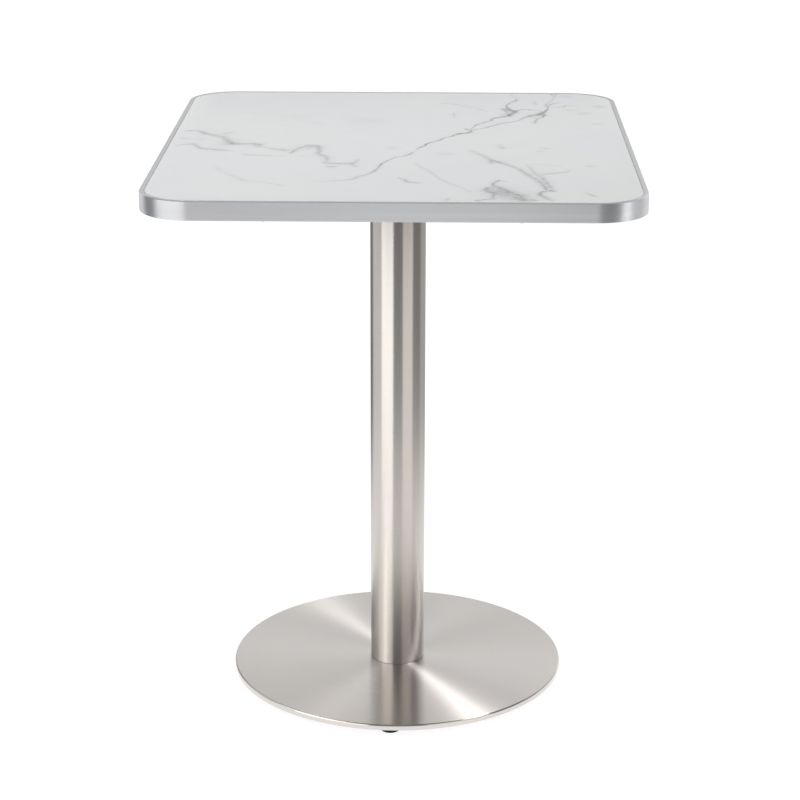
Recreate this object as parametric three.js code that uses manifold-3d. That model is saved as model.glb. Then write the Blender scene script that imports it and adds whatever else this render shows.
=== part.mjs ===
// Bistro table: a marble-look slab in a metal edge trim, carried by one steel tube on a round disc base.
//
// Millimetres, +Z up. X runs along the front edge and Y from the front edge to the back one.
// The origin is on the floor, under the middle of the column, and the table is stored at rest on its feet.
import * as THREE from 'three';
import { mergeVertices } from 'three/addons/utils/BufferGeometryUtils.js';
import Module from 'manifold-3d';

const wasm = await Module();
wasm.setup();

// ---- Driving dimensions ----------------------------------------------------------------------

const TABLE_HEIGHT = 740;
const TOP_WIDTH = 600;
const TOP_DEPTH = 700;
const TOP_CORNER_RADIUS = 65;
const COLUMN_DIAMETER = 73;
const BASE_DIAMETER = 450;
const BASE_UNDERSIDE_Z = 8.5;
const BASE_THICKNESS = 7.5;

// Clearance left between two pieces that touch on the real table.
const GAP = 0.3;

// Facets round a full turn, by the size of what is turned.
const FACETS = { disc: 72, tube: 48, hub: 24, pad: 16, screw: 10, hole: 8 };

// How far a cutting tool runs past the faces that it cuts.
const OVERCUT = 1;

// ---- Sizes of the pieces ---------------------------------------------------------------------

const BASE_TOP_Z = BASE_UNDERSIDE_Z + BASE_THICKNESS;

// Edge trim: an outer wall, a lip level with the slab and a flange turned in under the board.
const TRIM = {
  height: 23,
  wall: 2,
  lipWidth: 6,
  lipDepth: 5,
  flangeWidth: 17,
  flangeThickness: 1.5,
  arris: 0.8,
};
const TRIM_SEAM_WIDTH = 0.3;
const CORNER_DIVISIONS = 6;
const TRIM_UNDERSIDE_Z = TABLE_HEIGHT - TRIM.height;

// The slab is level with the lip, and the board and its backing sheet fill the channel below it.
const SLAB_THICKNESS = 6;
const SLAB_ARRIS = 0.5;
const SHEET_THICKNESS = 0.8;
const SHEET_UNDERSIDE_Z = TRIM_UNDERSIDE_Z + TRIM.flangeThickness + GAP;
const BOARD_UNDERSIDE_Z = SHEET_UNDERSIDE_Z + SHEET_THICKNESS + GAP;
const BOARD_TOP_Z = TABLE_HEIGHT - SLAB_THICKNESS - GAP;
const BOARD_INSET = TRIM.wall + GAP;

// Pan-head screws that hold the trim's flange to the board.
const TRIM_SCREW = { headRadius: 3.6, headHeight: 1.9, shankRadius: 1.75, length: 13 };
const TRIM_SCREW_INSET = 10;
const TRIM_SCREW_OFFSET_X = 150;
const TRIM_SCREW_OFFSET_Y = 190;

// Four-armed casting that carries the board. Its hub is dropped, to leave room for the rod's nut.
const SPIDER = { hubRadius: 46, hubThickness: 6, armWidth: 38, armThickness: 5, armReach: 205, drop: 14 };
const SPIDER_BEND_START = 50;
const SPIDER_BEND_END = 72;
const SPIDER_RIB = { width: 7, height: 9, start: 39.5, endMargin: 8 };
const SPIDER_TOP_Z = SHEET_UNDERSIDE_Z - GAP;
const SPIDER_SEAT_Z = SPIDER_TOP_Z - SPIDER.armThickness;
const SPIDER_HUB_TOP_Z = SPIDER_TOP_Z - SPIDER.drop;
const SPIDER_HUB_UNDERSIDE_Z = SPIDER_HUB_TOP_Z - SPIDER.hubThickness;
const SPIDER_SCREW = { headRadius: 5.6, headHeight: 3.2, shankRadius: 2.6, length: 15 };
const SPIDER_SCREW_RADII = [105, 188];
const SPIDER_SCREW_SIDE = 11;

// Column tube, with a loose disc in each end that the tie rod passes through.
const COLUMN_WALL = 1.5;
const COLUMN_UNDERSIDE_Z = BASE_TOP_Z + GAP;
const COLUMN_TOP_Z = SPIDER_HUB_UNDERSIDE_Z - GAP;
const PLUG_THICKNESS = 6;

// M10 tie rod that clamps spider, column and base together.
const ROD_RADIUS = 4.85;
const ROD_HOLE_RADIUS = 5.5;
const WASHER = { radius: 10, thickness: 2 };
const TOP_NUT = { acrossFlats: 17, height: 8.4 };
const BASE_NUT = { acrossFlats: 17, height: 5 };
const ROD_OVERHANG = 1;
const ROD_CHAMFER = 1;

// Base: a steel ballast plate under a stainless cover with a turned-down rim.
const COVER_THICKNESS = 1;
const COVER_EDGE_RADIUS = 2.2;
const BALLAST_TOP_Z = BASE_TOP_Z - COVER_THICKNESS - GAP;
const BALLAST_UNDERSIDE_Z = BASE_UNDERSIDE_Z + 0.2;
const BALLAST_RADIUS = BASE_DIAMETER / 2 - COVER_THICKNESS - GAP;
const BALLAST_CHAMFER = 1.2;
const RECESS_RADIUS = 19;
const RECESS_DEPTH = 3.5;

// Levelling feet, on M8 studs screwed into the ballast plate.
const FOOT_COUNT = 4;
const FOOT_CIRCLE_RADIUS = 205;
const FIRST_FOOT_ANGLE = THREE.MathUtils.degToRad(-91.5);
const PAD = { radius: 12.5, soleRadius: 9.5, height: 6, socketDepth: 3.4 };
const STUD = { radius: 3.85, topZ: 13.4, chamfer: 0.8, hexAcrossFlats: 13, hexHeight: 1.2 };
const STUD_HOLE_RADIUS = 4.15;

// ---- Materials -------------------------------------------------------------------------------

const marble = { color: 0xdadbdd, roughness: 0.25, metalness: 0 };
const fibreboard = { color: 0xa98b62, roughness: 0.9, metalness: 0 };
const backingLaminate = { color: 0x34363a, roughness: 0.6, metalness: 0 };
const brushedAluminium = { color: 0xbcbec2, roughness: 0.35, metalness: 1 };
const brushedStainless = { color: 0xb9b4ae, roughness: 0.32, metalness: 1 };
const blackCasting = { color: 0x1d1e20, roughness: 0.6, metalness: 0.3 };
const millSteel = { color: 0x55575a, roughness: 0.55, metalness: 0.9 };
const zincPlated = { color: 0xb4b7ba, roughness: 0.4, metalness: 1 };
const blackPlastic = { color: 0x101113, roughness: 0.5, metalness: 0 };

// ---- Geometry helpers ------------------------------------------------------------------------

// A named mesh from a geometry, with a material of its own.
function part(name, geometry, look) {
  geometry.computeVertexNormals();
  const mesh = new THREE.Mesh(geometry, new THREE.MeshStandardMaterial(look));
  mesh.name = name;
  return mesh;
}

// A geometry stripped to shared positions, as the boolean library wants it.
function toSolid(geometry) {
  const bare = geometry.clone();
  bare.deleteAttribute('normal');
  bare.deleteAttribute('uv');
  const welded = mergeVertices(bare, 1e-4);
  return new wasm.Manifold(
    new wasm.Mesh({
      numProp: 3,
      vertProperties: Float32Array.from(welded.attributes.position.array),
      triVerts: Uint32Array.from(welded.index.array),
    }),
  );
}

function toGeometry(solid) {
  const mesh = solid.getMesh();
  const geometry = new THREE.BufferGeometry();
  geometry.setAttribute('position', new THREE.BufferAttribute(Float32Array.from(mesh.vertProperties), 3));
  geometry.setIndex(new THREE.BufferAttribute(Uint32Array.from(mesh.triVerts), 1));
  return geometry;
}

function cut(geometry, ...tools) {
  const start = toSolid(geometry);
  return toGeometry(tools.reduce((solid, tool) => solid.subtract(toSolid(tool)), start));
}

function join(geometry, ...others) {
  const start = toSolid(geometry);
  return toGeometry(others.reduce((solid, other) => solid.add(toSolid(other)), start));
}

// A solid of revolution about +Z from [radius, z] points, listed upwards along the outside.
function revolve(profile, segments) {
  const points = profile.map(([radius, z]) => new THREE.Vector2(radius, z));
  return new THREE.LatheGeometry(points, segments).rotateX(Math.PI / 2);
}

// A ring of revolution: the profile closes on itself.
function revolveRing(profile, segments) {
  return revolve([...profile, profile[0]], segments);
}

// An upright cylinder between two heights.
function post(radius, bottomZ, topZ, segments, x = 0, y = 0) {
  const height = topZ - bottomZ;
  return new THREE.CylinderGeometry(radius, radius, height, segments)
    .rotateX(Math.PI / 2)
    .translate(x, y, bottomZ + height / 2);
}

// Points of an arc in a [radius, z] profile, angles in degrees.
function arcPoints(centreRadius, centreZ, arcRadius, fromDegrees, toDegrees, steps) {
  return Array.from({ length: steps + 1 }, (_, i) => {
    const angle = THREE.MathUtils.degToRad(fromDegrees + ((toDegrees - fromDegrees) * i) / steps);
    return [centreRadius + arcRadius * Math.cos(angle), centreZ + arcRadius * Math.sin(angle)];
  });
}

// The table top's outline, drawn in by an inset all round.
function topOutline(inset) {
  const halfWidth = TOP_WIDTH / 2 - inset;
  const halfDepth = TOP_DEPTH / 2 - inset;
  const radius = TOP_CORNER_RADIUS - inset;
  const outline = new THREE.Shape();
  outline.absarc(halfWidth - radius, -halfDepth + radius, radius, -Math.PI / 2, 0);
  outline.absarc(halfWidth - radius, halfDepth - radius, radius, 0, Math.PI / 2);
  outline.absarc(-halfWidth + radius, halfDepth - radius, radius, Math.PI / 2, Math.PI);
  outline.absarc(-halfWidth + radius, -halfDepth + radius, radius, Math.PI, Math.PI * 1.5);
  return outline;
}

// A flat plate with the top's outline, between two heights.
function topPlate(inset, bottomZ, topZ) {
  const options = { depth: topZ - bottomZ, bevelEnabled: false, curveSegments: CORNER_DIVISIONS };
  return new THREE.ExtrudeGeometry(topOutline(inset), options).translate(0, 0, bottomZ);
}

// A hexagonal prism with a round hole, for nuts and spanner flats.
function hexPrism(acrossFlats, holeRadius, bottomZ, height) {
  const cornerRadius = acrossFlats / Math.sqrt(3);
  const corners = Array.from({ length: 6 }, (_, corner) => {
    const angle = (corner * Math.PI) / 3;
    return new THREE.Vector2(cornerRadius * Math.cos(angle), cornerRadius * Math.sin(angle));
  });
  const hexagon = new THREE.Shape(corners);
  if (holeRadius > 0) {
    hexagon.holes.push(new THREE.Path().absarc(0, 0, holeRadius, 0, Math.PI * 2, true));
  }
  const options = { depth: height, bevelEnabled: false, curveSegments: FACETS.hole };
  return new THREE.ExtrudeGeometry(hexagon, options).translate(0, 0, bottomZ);
}

// ---- Table top -------------------------------------------------------------------------------

function marblePanel() {
  const inset = TRIM.lipWidth + GAP;
  const options = {
    depth: SLAB_THICKNESS - SLAB_ARRIS,
    bevelEnabled: true,
    bevelSegments: 1,
    bevelSize: SLAB_ARRIS,
    bevelThickness: SLAB_ARRIS,
    curveSegments: CORNER_DIVISIONS,
  };
  const slab = new THREE.ExtrudeGeometry(topOutline(inset + SLAB_ARRIS), options);
  slab.translate(0, 0, TABLE_HEIGHT - SLAB_THICKNESS);
  // The bevel is made at both faces, and only the upper one stays.
  const lowerBevel = new THREE.BoxGeometry(TOP_WIDTH, TOP_DEPTH, SLAB_THICKNESS);
  lowerBevel.translate(0, 0, TABLE_HEIGHT - SLAB_THICKNESS * 1.5);
  return part('marble_panel', cut(slab, lowerBevel), marble);
}

// The trim's section as [inset, height] points, running up the outside and back down the inside.
function trimSection() {
  const bottom = TRIM_UNDERSIDE_Z;
  const top = TABLE_HEIGHT;
  return [
    [TRIM.arris, bottom],
    [0, bottom + TRIM.arris],
    [0, top - TRIM.arris],
    [TRIM.arris, top],
    [TRIM.lipWidth, top],
    [TRIM.lipWidth, top - TRIM.lipDepth],
    [TRIM.wall, top - TRIM.lipDepth],
    [TRIM.wall, bottom + TRIM.flangeThickness],
    [TRIM.flangeWidth, bottom + TRIM.flangeThickness],
    [TRIM.flangeWidth, bottom],
  ];
}

// The section carried once round the top's outline, as a closed ring.
function trimRing() {
  const section = trimSection();
  const stations = section.map(([inset]) => topOutline(inset).getPoints(CORNER_DIVISIONS));
  const stationCount = stations[0].length;
  const positions = [];
  for (let station = 0; station < stationCount; station += 1) {
    section.forEach(([, z], corner) => {
      const point = stations[corner][station];
      positions.push(point.x, point.y, z);
    });
  }
  const triangles = [];
  for (let station = 0; station < stationCount; station += 1) {
    const here = station * section.length;
    const next = ((station + 1) % stationCount) * section.length;
    for (let corner = 0; corner < section.length; corner += 1) {
      const after = (corner + 1) % section.length;
      triangles.push(here + corner, next + corner, next + after);
      triangles.push(here + corner, next + after, here + after);
    }
  }
  const ring = new THREE.BufferGeometry();
  ring.setAttribute('position', new THREE.Float32BufferAttribute(positions, 3));
  ring.setIndex(triangles);
  return ring;
}

function trimScrewPlaces() {
  const places = [];
  for (const side of [-1, 1]) {
    for (const along of [-1, 1]) {
      places.push([along * TRIM_SCREW_OFFSET_X, side * (TOP_DEPTH / 2 - TRIM_SCREW_INSET)]);
      places.push([side * (TOP_WIDTH / 2 - TRIM_SCREW_INSET), along * TRIM_SCREW_OFFSET_Y]);
    }
  }
  return places;
}

function spiderScrewPlaces() {
  const places = [];
  for (let arm = 0; arm < 4; arm += 1) {
    const angle = Math.PI / 4 + (arm * Math.PI) / 2;
    SPIDER_SCREW_RADII.forEach((radius, row) => {
      const side = row === 0 ? -SPIDER_SCREW_SIDE : SPIDER_SCREW_SIDE;
      const x = radius * Math.cos(angle) - side * Math.sin(angle);
      const y = radius * Math.sin(angle) + side * Math.cos(angle);
      places.push([x, y]);
    });
  }
  return places;
}

// A clearance hole for a screw, from below its head to past its point.
function screwHole(screw, seatZ, [x, y]) {
  return post(screw.shankRadius + GAP, seatZ - OVERCUT, seatZ + screw.length + OVERCUT, FACETS.hole, x, y);
}

function screwHolesForTop() {
  const trimHoles = trimScrewPlaces().map((place) => screwHole(TRIM_SCREW, TRIM_UNDERSIDE_Z, place));
  const spiderHoles = spiderScrewPlaces().map((place) => screwHole(SPIDER_SCREW, SPIDER_SEAT_Z, place));
  return [...trimHoles, ...spiderHoles];
}

function coreBoard() {
  const board = topPlate(BOARD_INSET, BOARD_UNDERSIDE_Z, BOARD_TOP_Z);
  return part('core_board', cut(board, ...screwHolesForTop()), fibreboard);
}

function backingSheet() {
  const sheet = topPlate(BOARD_INSET, SHEET_UNDERSIDE_Z, SHEET_UNDERSIDE_Z + SHEET_THICKNESS);
  return part('backing_sheet', cut(sheet, ...screwHolesForTop()), backingLaminate);
}

function edgeTrim() {
  const seam = new THREE.BoxGeometry(TRIM_SEAM_WIDTH, 3 * TRIM.flangeWidth, 2 * TRIM.height);
  seam.translate(0, TOP_DEPTH / 2, TABLE_HEIGHT - TRIM.height / 2);
  const holes = trimScrewPlaces().map((place) => screwHole(TRIM_SCREW, TRIM_UNDERSIDE_Z, place));
  return part('edge_trim', cut(trimRing(), seam, ...holes), brushedAluminium);
}

// A round-headed screw driven upwards, its head's bearing face at the origin.
function screwGeometry(screw) {
  const { headRadius, headHeight, shankRadius, length } = screw;
  return revolve(
    [
      [0, -headHeight],
      [headRadius * 0.62, -headHeight],
      [headRadius * 0.93, -headHeight * 0.55],
      [headRadius, 0],
      [shankRadius, 0],
      [shankRadius, length - shankRadius * 2],
      [0, length],
    ],
    FACETS.screw,
  );
}

function screws(baseName, screw, seatZ, places, look) {
  return places.map(([x, y], index) => {
    const mesh = part(`${baseName}_${index + 1}`, screwGeometry(screw), look);
    mesh.position.set(x, y, seatZ - GAP);
    return mesh;
  });
}

// ---- Spider ----------------------------------------------------------------------------------

// One arm seen from the side: out from the hub, up to the board, and along under it, with a rib below.
// The rib runs a little way into the arm, so that the two join as one casting.
function spiderArm(angle) {
  const { hubThickness, armThickness, armReach, armWidth } = SPIDER;
  const ribEnd = armReach - SPIDER_RIB.endMargin;
  const side = new THREE.Shape();
  side.moveTo(0, SPIDER_HUB_UNDERSIDE_Z);
  side.lineTo(SPIDER_BEND_START, SPIDER_HUB_UNDERSIDE_Z);
  side.lineTo(SPIDER_BEND_END, SPIDER_SEAT_Z);
  side.lineTo(armReach, SPIDER_SEAT_Z);
  side.lineTo(armReach, SPIDER_TOP_Z);
  side.lineTo(SPIDER_BEND_END - armThickness / 2, SPIDER_TOP_Z);
  side.lineTo(SPIDER_BEND_START - armThickness / 2, SPIDER_HUB_UNDERSIDE_Z + hubThickness);
  side.lineTo(0, SPIDER_HUB_UNDERSIDE_Z + hubThickness);
  const rib = new THREE.Shape();
  rib.moveTo(SPIDER_RIB.start, SPIDER_HUB_UNDERSIDE_Z);
  rib.lineTo(SPIDER_BEND_END, SPIDER_SEAT_Z - SPIDER_RIB.height);
  rib.lineTo(ribEnd, SPIDER_SEAT_Z - OVERCUT);
  rib.lineTo(ribEnd, SPIDER_SEAT_Z + OVERCUT);
  rib.lineTo(SPIDER_BEND_START, SPIDER_SEAT_Z + OVERCUT);
  rib.lineTo(SPIDER_RIB.start, SPIDER_HUB_UNDERSIDE_Z + OVERCUT);
  // A side view is drawn in X and Y, stood up so that its Y is height, and centred on the arm's width.
  const standUp = (shape, width) =>
    new THREE.ExtrudeGeometry(shape, { depth: width, bevelEnabled: false })
      .rotateX(Math.PI / 2)
      .translate(0, width / 2, 0)
      .rotateZ(angle);
  return [standUp(side, armWidth), standUp(rib, SPIDER_RIB.width)];
}

function topSpider() {
  const hub = post(SPIDER.hubRadius, SPIDER_HUB_UNDERSIDE_Z, SPIDER_HUB_TOP_Z, FACETS.tube);
  const arms = [0, 1, 2, 3].flatMap((arm) => spiderArm(Math.PI / 4 + (arm * Math.PI) / 2));
  const holeBottomZ = SPIDER_HUB_UNDERSIDE_Z - OVERCUT;
  const rodHole = post(ROD_HOLE_RADIUS, holeBottomZ, SPIDER_HUB_TOP_Z + OVERCUT, FACETS.hub);
  const screwHoles = spiderScrewPlaces().map((place) => screwHole(SPIDER_SCREW, SPIDER_SEAT_Z, place));
  return part('top_spider', cut(join(hub, ...arms), rodHole, ...screwHoles), blackCasting);
}

// ---- Column and tie rod ----------------------------------------------------------------------

function columnTube() {
  const outer = COLUMN_DIAMETER / 2;
  const inner = outer - COLUMN_WALL;
  const tube = revolveRing(
    [
      [inner, COLUMN_UNDERSIDE_Z],
      [outer, COLUMN_UNDERSIDE_Z],
      [outer, COLUMN_TOP_Z],
      [inner, COLUMN_TOP_Z],
    ],
    FACETS.tube,
  );
  return part('column_tube', tube, brushedStainless);
}

function columnPlug(name, bottomZ) {
  const radius = COLUMN_DIAMETER / 2 - COLUMN_WALL - GAP;
  const plug = revolveRing(
    [
      [ROD_HOLE_RADIUS, bottomZ],
      [radius, bottomZ],
      [radius, bottomZ + PLUG_THICKNESS],
      [ROD_HOLE_RADIUS, bottomZ + PLUG_THICKNESS],
    ],
    FACETS.tube,
  );
  return part(name, plug, millSteel);
}

const TOP_WASHER_Z = SPIDER_HUB_TOP_Z + GAP;
const TOP_NUT_Z = TOP_WASHER_Z + WASHER.thickness + GAP;
const BASE_WASHER_Z = BALLAST_UNDERSIDE_Z + RECESS_DEPTH - GAP - WASHER.thickness;
const BASE_NUT_Z = BASE_WASHER_Z - GAP - BASE_NUT.height;

function tieRod() {
  const bottomZ = BASE_NUT_Z - ROD_OVERHANG;
  const topZ = TOP_NUT_Z + TOP_NUT.height + ROD_OVERHANG;
  const rod = revolve(
    [
      [0, bottomZ],
      [ROD_RADIUS - ROD_CHAMFER, bottomZ],
      [ROD_RADIUS, bottomZ + ROD_CHAMFER],
      [ROD_RADIUS, topZ - ROD_CHAMFER],
      [ROD_RADIUS - ROD_CHAMFER, topZ],
      [0, topZ],
    ],
    FACETS.hub,
  );
  return part('tie_rod', rod, zincPlated);
}

function nut(name, size, bottomZ) {
  return part(name, hexPrism(size.acrossFlats, ROD_RADIUS + GAP, bottomZ, size.height), zincPlated);
}

function washer(name, bottomZ) {
  const hole = ROD_RADIUS + GAP;
  const ring = revolveRing(
    [
      [hole, bottomZ],
      [WASHER.radius, bottomZ],
      [WASHER.radius, bottomZ + WASHER.thickness],
      [hole, bottomZ + WASHER.thickness],
    ],
    FACETS.hub,
  );
  return part(name, ring, zincPlated);
}

// ---- Base ------------------------------------------------------------------------------------

// A pressed disc: flat on top, with a rolled edge and a short rim turned down over the ballast.
function baseCover() {
  const outer = BASE_DIAMETER / 2;
  const inner = outer - COVER_THICKNESS;
  const bendZ = BASE_TOP_Z - COVER_EDGE_RADIUS;
  const bendRadius = outer - COVER_EDGE_RADIUS;
  const shell = revolveRing(
    [
      [ROD_HOLE_RADIUS, BASE_TOP_Z - COVER_THICKNESS],
      ...arcPoints(bendRadius, bendZ, COVER_EDGE_RADIUS - COVER_THICKNESS, 90, 0, 1),
      [inner, BASE_UNDERSIDE_Z],
      [outer, BASE_UNDERSIDE_Z],
      ...arcPoints(bendRadius, bendZ, COVER_EDGE_RADIUS, 0, 90, 3),
      [ROD_HOLE_RADIUS, BASE_TOP_Z],
    ],
    FACETS.disc,
  );
  return part('base_cover', shell, brushedStainless);
}

function footPlaces() {
  return Array.from({ length: FOOT_COUNT }, (_, index) => {
    const angle = FIRST_FOOT_ANGLE + (index * Math.PI * 2) / FOOT_COUNT;
    return [FOOT_CIRCLE_RADIUS * Math.cos(angle), FOOT_CIRCLE_RADIUS * Math.sin(angle)];
  });
}

function ballastPlate() {
  const recessTop = BALLAST_UNDERSIDE_Z + RECESS_DEPTH;
  const plate = revolveRing(
    [
      [RECESS_RADIUS, BALLAST_UNDERSIDE_Z],
      [BALLAST_RADIUS, BALLAST_UNDERSIDE_Z],
      [BALLAST_RADIUS, BALLAST_TOP_Z - BALLAST_CHAMFER],
      [BALLAST_RADIUS - BALLAST_CHAMFER, BALLAST_TOP_Z],
      [ROD_HOLE_RADIUS, BALLAST_TOP_Z],
      [ROD_HOLE_RADIUS, recessTop],
      [RECESS_RADIUS, recessTop],
    ],
    FACETS.disc,
  );
  const studHoles = footPlaces().map(([x, y]) =>
    post(STUD_HOLE_RADIUS, BALLAST_UNDERSIDE_Z - OVERCUT, BALLAST_TOP_Z + OVERCUT, FACETS.pad, x, y),
  );
  return part('ballast_plate', cut(plate, ...studHoles), millSteel);
}

// ---- Levelling feet --------------------------------------------------------------------------

// A moulded pad: flat sole, rounded side, and a socket in its top for the stud.
function padGeometry() {
  const { radius, soleRadius, height, socketDepth } = PAD;
  const socketRadius = STUD.radius + GAP;
  const roundRadius = radius - soleRadius;
  return revolve(
    [
      [0, 0],
      [soleRadius, 0],
      ...arcPoints(soleRadius, roundRadius, roundRadius, -60, 0, 2),
      [radius, height - 1],
      [radius - 1, height],
      [socketRadius, height],
      [socketRadius, height - socketDepth],
      [0, height - socketDepth],
    ],
    FACETS.pad,
  );
}

// A threaded stud with spanner flats just above the pad.
function studGeometry() {
  const bottomZ = PAD.height - PAD.socketDepth + GAP;
  const shank = revolve(
    [
      [0, bottomZ],
      [STUD.radius, bottomZ],
      [STUD.radius, STUD.topZ - STUD.chamfer],
      [STUD.radius - STUD.chamfer, STUD.topZ],
      [0, STUD.topZ],
    ],
    FACETS.pad,
  );
  return join(shank, hexPrism(STUD.hexAcrossFlats, 0, PAD.height + GAP, STUD.hexHeight));
}

function levellingFoot(number, [x, y]) {
  const foot = new THREE.Group();
  foot.position.set(x, y, 0);
  foot.add(part(`foot_pad_${number}`, padGeometry(), blackPlastic));
  foot.add(part(`foot_stud_${number}`, studGeometry(), zincPlated));
  return foot;
}

// ---- The table -------------------------------------------------------------------------------

const table = new THREE.Group();
table.name = 'bistro_table';

table.add(marblePanel(), coreBoard(), backingSheet(), edgeTrim());
table.add(...screws('trim_screw', TRIM_SCREW, TRIM_UNDERSIDE_Z, trimScrewPlaces(), zincPlated));
table.add(topSpider());
table.add(...screws('spider_screw', SPIDER_SCREW, SPIDER_SEAT_Z, spiderScrewPlaces(), zincPlated));
table.add(columnTube());
table.add(columnPlug('column_top_plug', COLUMN_TOP_Z - PLUG_THICKNESS));
table.add(columnPlug('column_foot_plug', COLUMN_UNDERSIDE_Z));
table.add(tieRod());
table.add(nut('top_nut', TOP_NUT, TOP_NUT_Z), washer('top_washer', TOP_WASHER_Z));
table.add(nut('base_nut', BASE_NUT, BASE_NUT_Z), washer('base_washer', BASE_WASHER_Z));
table.add(baseCover(), ballastPlate());
table.add(...footPlaces().map((place, index) => levellingFoot(index + 1, place)));

export default table;
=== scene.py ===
"""Looks of the bistro table: fine meshes, procedural materials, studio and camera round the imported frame.

Metres, +Z up, in the same frame as the CAD model: the front edge faces -Y and the floor is z = 0.
"""

import math

import bmesh
import bpy
from mathutils import Matrix, Vector


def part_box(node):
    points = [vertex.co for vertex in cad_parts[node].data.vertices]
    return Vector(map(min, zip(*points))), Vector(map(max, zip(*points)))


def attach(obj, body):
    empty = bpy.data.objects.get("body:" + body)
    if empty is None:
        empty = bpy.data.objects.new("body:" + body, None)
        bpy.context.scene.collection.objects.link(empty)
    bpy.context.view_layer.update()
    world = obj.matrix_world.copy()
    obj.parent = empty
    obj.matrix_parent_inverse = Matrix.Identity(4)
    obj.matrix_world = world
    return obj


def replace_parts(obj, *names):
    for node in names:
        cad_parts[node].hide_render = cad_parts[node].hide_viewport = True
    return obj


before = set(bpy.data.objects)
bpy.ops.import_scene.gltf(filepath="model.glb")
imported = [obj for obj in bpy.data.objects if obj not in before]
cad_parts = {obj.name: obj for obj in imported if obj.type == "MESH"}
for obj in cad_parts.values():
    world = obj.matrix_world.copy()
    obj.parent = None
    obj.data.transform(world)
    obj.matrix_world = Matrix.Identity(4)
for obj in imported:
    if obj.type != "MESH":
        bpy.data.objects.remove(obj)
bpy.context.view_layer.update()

MM = 0.001
PERCENT = 0.01
TABLE = "table"

# ---- Places and sizes, from the frame ----


def centre_of(node):
    low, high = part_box(node)
    return (low + high) / 2


def places_of(kind, count):
    """Where the numbered nodes of one kind stand, as (x, y)."""
    middles = [centre_of(f"{kind}_{number}") for number in range(1, count + 1)]
    return [(middle.x, middle.y) for middle in middles]


SLAB_LOW, SLAB_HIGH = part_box("marble_panel")
TRIM_LOW, TRIM_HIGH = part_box("edge_trim")
COLUMN_LOW, COLUMN_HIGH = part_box("column_tube")
COVER_LOW, COVER_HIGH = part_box("base_cover")
BALLAST_LOW, BALLAST_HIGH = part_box("ballast_plate")
PAD_LOW, PAD_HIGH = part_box("foot_pad_1")
STUD_LOW, STUD_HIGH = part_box("foot_stud_1")

# What the pieces' boxes don't tell.
TOP_CORNER_RADIUS = 65 * MM
LIP_WIDTH = 6 * MM
LIP_DEPTH = 5 * MM
TRIM_WALL = 2 * MM
FLANGE_WIDTH = 17 * MM
FLANGE_THICKNESS = 1.5 * MM
TRIM_ARRIS = 0.8 * MM
SEAM_WIDTH = 0.3 * MM
SLAB_ARRIS = 0.6 * MM
COLUMN_WALL = 1.5 * MM
SHEET_METAL = 1 * MM
COVER_EDGE_RADIUS = 2.2 * MM
ROD_HOLE_RADIUS = 5.5 * MM
STUD_HOLE_RADIUS = 4.15 * MM
RECESS_RADIUS = 19 * MM
RECESS_DEPTH = 3.5 * MM

# Fasteners, the screws as head height and shank radius.
TRIM_SCREW = (1.9 * MM, 1.75 * MM)
SPIDER_SCREW = (3.2 * MM, 2.6 * MM)
SCREW_COUNT = 8
M10_RADIUS = 4.85 * MM
M10_PITCH = 1.5 * MM
M8_RADIUS = 3.85 * MM
M8_PITCH = 1.25 * MM

# Steps round a full turn, by the size of what is turned.
DISC_STEPS = 256
TUBE_STEPS = 128
HARDWARE_STEPS = 72
SMALL_STEPS = 48
# Steps along each pitch of a thread.
PITCH_STEPS = 6

# ---- Mesh helpers ----

SHARP_ANGLE = math.radians(35)


def dress(mesh, material):
    """Gives a mesh one material in place of any that it has."""
    mesh.materials.clear()
    mesh.materials.append(material)


def new_piece(name, mesh, material, place=(0, 0, 0)):
    """A visible piece with one material."""
    piece = bpy.data.objects.new(name, mesh)
    bpy.context.scene.collection.objects.link(piece)
    piece.location = place
    dress(mesh, material)
    return piece


def stand_in(name, mesh, material, node):
    """A visible piece that replaces a CAD node."""
    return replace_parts(new_piece(name, mesh, material), node)


def plain_mesh(name, shape):
    """A mesh from a bmesh, which it uses up."""
    mesh = bpy.data.meshes.new(name)
    shape.to_mesh(mesh)
    shape.free()
    return mesh


def finished_mesh(name, shape):
    """A mesh from a bmesh, with its faces pointing out and its edges sharp only where it bends."""
    bmesh.ops.recalc_face_normals(shape, faces=shape.faces)
    mesh = plain_mesh(name, shape)
    mesh.polygons.foreach_set("use_smooth", [True] * len(mesh.polygons))
    mesh.set_sharp_from_angle(angle=SHARP_ANGLE)
    return mesh


def rounded(corners, steps=5):
    """A closed outline through (x, y, radius) corners, each one rounded to its radius."""
    outline = []
    for index, (x, y, radius) in enumerate(corners):
        here = Vector((x, y))
        if radius == 0:
            outline.append((x, y))
            continue
        before = (Vector(corners[index - 1][:2]) - here).normalized()
        after = (Vector(corners[(index + 1) % len(corners)][:2]) - here).normalized()
        half_angle = before.angle(after) / 2
        centre = here + (before + after).normalized() * radius / math.sin(half_angle)
        arm = here + before * radius / math.tan(half_angle) - centre
        turn = math.copysign(math.pi - 2 * half_angle, after.cross(before))
        for step in range(steps + 1):
            point = centre + Matrix.Rotation(turn * step / steps, 2) @ arm
            outline.append((point.x, point.y))
    return outline


def ring_section(inner, outer, low, high, edge, steps):
    """A ring's rectangular section, with every edge rounded alike."""
    corners = [(inner, low, edge), (outer, low, edge), (outer, high, edge), (inner, high, edge)]
    return rounded(corners, steps)


def mirrored(half, low, high):
    """The lower half of a turned piece's outline, and then the same upside down."""
    return half + [(radius, low.z + high.z - z) for radius, z in reversed(half)]


def skin(shape, rows):
    """Joins each row of corners to the next one with a band of faces."""
    for lower, upper in zip(rows, rows[1:]):
        for step in range(len(lower)):
            after = (step + 1) % len(lower)
            corners = [lower[step], lower[after], upper[after], upper[step]]
            # A row on the axis is one corner over and over, so its faces have three.
            shape.faces.new(dict.fromkeys(corners))


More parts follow.
